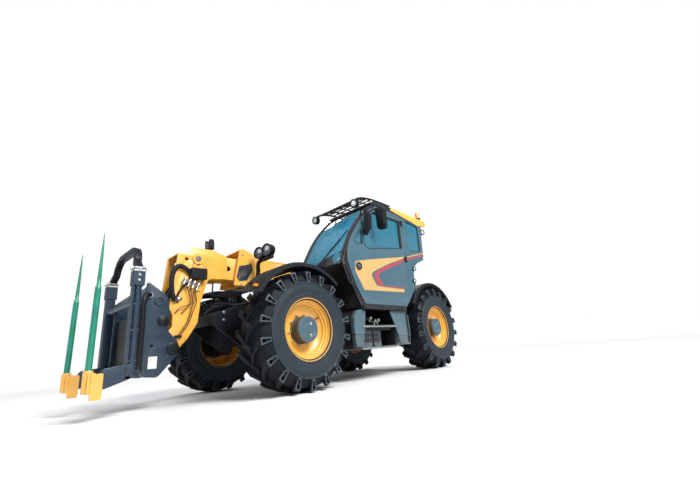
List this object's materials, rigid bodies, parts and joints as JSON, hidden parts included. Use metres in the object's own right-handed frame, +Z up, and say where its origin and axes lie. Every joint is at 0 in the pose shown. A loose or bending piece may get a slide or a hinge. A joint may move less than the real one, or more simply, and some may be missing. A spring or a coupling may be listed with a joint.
{
  "type": "telescopic handler",
  "caption": "Telescopic handler with side cab, level telescoping boom, steered lugged wheels and a folded bale fork on its tilting carriage.",
  "frame": {"origin": "on the ground under the middle of the machine's length and width", "axes": "+X to the machine's left where the cab is, +Y to its rear, +Z up; the boom points along -Y"},
  "size_m": [2.65, 5.341, 2.67],
  "materials": {
    "boom_paint": "satin",
    "rim_paint": "satin",
    "body_paint": "satin",
    "dark_paint": "satin",
    "plastic": "matt",
    "glass": "tinted",
    "tyre": "matt",
    "chrome": "polished",
    "engine": "matt",
    "seat_cloth": "woven",
    "lamp": "matt",
    "tine_paint": "satin"
  },
  "bodies": {
    "chassis": {"chassis_frame": "dark_paint", "front_axle": "dark_paint", "rear_axle": "dark_paint", "front_mudguards": "plastic", "rear_mudguards": "plastic", "counterweight": "body_paint", "tow_hitch": "dark_paint", "cab_frame": "body_paint", "cab_glass": "glass", "cab_roof": "boom_paint", "roof_guard": "dark_paint", "seat": "seat_cloth", "steering_column": "plastic", "step_unit": "body_paint", "fuel_tank": "body_paint", "engine_block": "engine", "engine_bay": "dark_paint", "right_mirror": "plastic", "lamps": "lamp", "headlamps": "dark_paint"},
    "door": {"door": "body_paint", "door_glass": "glass", "door_mirror": "plastic"},
    "bonnet": {"bonnet": "body_paint"},
    "boom": {"outer_boom": "boom_paint"},
    "inner_boom": {"inner_boom": "boom_paint", "valve_block": "dark_paint", "head_lamp": "dark_paint"},
    "carriage": {"carriage": "body_paint", "fork_frame": "body_paint", "fork_hoop": "dark_paint"},
    "left_tine": {"left_tine": "tine_paint"},
    "right_tine": {"right_tine": "tine_paint"},
    "lift_barrel": {"lift_barrel": "dark_paint"},
    "lift_rod": {"lift_rod": "chrome"},
    "tilt_barrel": {"tilt_barrel": "dark_paint"},
    "tilt_rod": {"tilt_rod": "chrome"},
    "front_left_knuckle": {"front_left_knuckle": "dark_paint"},
    "front_left_wheel": {"front_left_tyre": "tyre", "front_left_rim": "rim_paint"},
    "front_right_knuckle": {"front_right_knuckle": "dark_paint"},
    "front_right_wheel": {"front_right_tyre": "tyre", "front_right_rim": "rim_paint"},
    "rear_left_knuckle": {"rear_left_knuckle": "dark_paint"},
    "rear_left_wheel": {"rear_left_tyre": "tyre", "rear_left_rim": "rim_paint"},
    "rear_right_knuckle": {"rear_right_knuckle": "dark_paint"},
    "rear_right_wheel": {"rear_right_tyre": "tyre", "rear_right_rim": "rim_paint"}
  },
  "joints": [
    {"name": "boom_lift", "type": "hinge", "parent": "chassis", "child": "boom", "pos_m": [0, 2.15, 1.425], "axis": [-1, 0, 0], "range_deg": [-2.5, 65]},
    {"name": "boom_extend", "type": "slide", "parent": "boom", "child": "inner_boom", "axis": [0, -1, 0], "range_m": [0, 2]},
    {"name": "carriage_tilt", "type": "hinge", "parent": "inner_boom", "child": "carriage", "pos_m": [0, -1.9, 0.54], "axis": [1, 0, 0], "range_deg": [-12, 105]},
    {"name": "left_tine_fold", "type": "hinge", "parent": "carriage", "child": "left_tine", "pos_m": [0.4, -2.53, 0.27], "axis": [1, 0, 0], "range_deg": [0, 90]},
    {"name": "right_tine_fold", "type": "hinge", "parent": "carriage", "child": "right_tine", "pos_m": [-0.4, -2.53, 0.27], "axis": [1, 0, 0], "range_deg": [0, 90]},
    {"name": "door_swing", "type": "hinge", "parent": "chassis", "child": "door", "pos_m": [1.101, 1.197, 1.7], "axis": [0, 0, 1], "range_deg": [0, 85]},
    {"name": "bonnet_lift", "type": "hinge", "parent": "chassis", "child": "bonnet", "pos_m": [-0.328, 0.48, 1.425], "axis": [0, 1, 0], "range_deg": [0, 55]},
    {"name": "lift_barrel_swing", "type": "hinge", "parent": "chassis", "child": "lift_barrel", "pos_m": [0, 1.7, 0.8], "axis": [-1, 0, 0], "range_deg": [-2.92, 63.41]},
    {"name": "lift_rod_slide", "type": "slide", "parent": "lift_barrel", "child": "lift_rod", "axis": [0, -0.9727, 0.232], "range_m": [-0.0378, 0.8574]},
    {"name": "tilt_barrel_swing", "type": "hinge", "parent": "inner_boom", "child": "tilt_barrel", "pos_m": [0, -1.64, 1.5], "axis": [1, 0, 0], "range_deg": [-0.66, 1.92]},
    {"name": "tilt_rod_slide", "type": "slide", "parent": "tilt_barrel", "child": "tilt_rod", "axis": [0, -0.4701, -0.8826], "range_m": [-0.0608, 0.4928]},
    {"name": "front_left_steer", "type": "hinge", "parent": "chassis", "child": "front_left_knuckle", "pos_m": [0.79, -0.875, 0.628], "axis": [0, 0, 1], "range_deg": [-35, 35]},
    {"name": "front_left_roll", "type": "hinge", "parent": "front_left_knuckle", "child": "front_left_wheel", "pos_m": [0.91, -0.875, 0.628], "axis": [1, 0, 0], "continuous": true},
    {"name": "front_right_steer", "type": "hinge", "parent": "chassis", "child": "front_right_knuckle", "pos_m": [-0.79, -0.875, 0.628], "axis": [0, 0, 1], "range_deg": [-35, 35]},
    {"name": "front_right_roll", "type": "hinge", "parent": "front_right_knuckle", "child": "front_right_wheel", "pos_m": [-0.91, -0.875, 0.628], "axis": [1, 0, 0], "continuous": true},
    {"name": "rear_left_steer", "type": "hinge", "parent": "chassis", "child": "rear_left_knuckle", "pos_m": [0.79, 1.875, 0.628], "axis": [0, 0, 1], "range_deg": [-35, 35]},
    {"name": "rear_left_roll", "type": "hinge", "parent": "rear_left_knuckle", "child": "rear_left_wheel", "pos_m": [0.91, 1.875, 0.628], "axis": [1, 0, 0], "continuous": true},
    {"name": "rear_right_steer", "type": "hinge", "parent": "chassis", "child": "rear_right_knuckle", "pos_m": [-0.79, 1.875, 0.628], "axis": [0, 0, 1], "range_deg": [-35, 35]},
    {"name": "rear_right_roll", "type": "hinge", "parent": "rear_right_knuckle", "child": "rear_right_wheel", "pos_m": [-0.91, 1.875, 0.628], "axis": [1, 0, 0], "continuous": true}
  ],
  "couplings": [
    {"joint": "lift_barrel_swing", "follows": "boom_lift", "ratio": 0.9679},
    {"joint": "lift_rod_slide", "follows": "boom_lift", "m_per_rad": 0.7514},
    {"joint": "tilt_barrel_swing", "follows": "carriage_tilt", "ratio": 0.0135},
    {"joint": "tilt_rod_slide", "follows": "carriage_tilt", "m_per_rad": 0.2662},
    {"joint": "front_right_steer", "follows": "front_left_steer", "ratio": 1},
    {"joint": "rear_right_steer", "follows": "rear_left_steer", "ratio": 1}
  ]
}
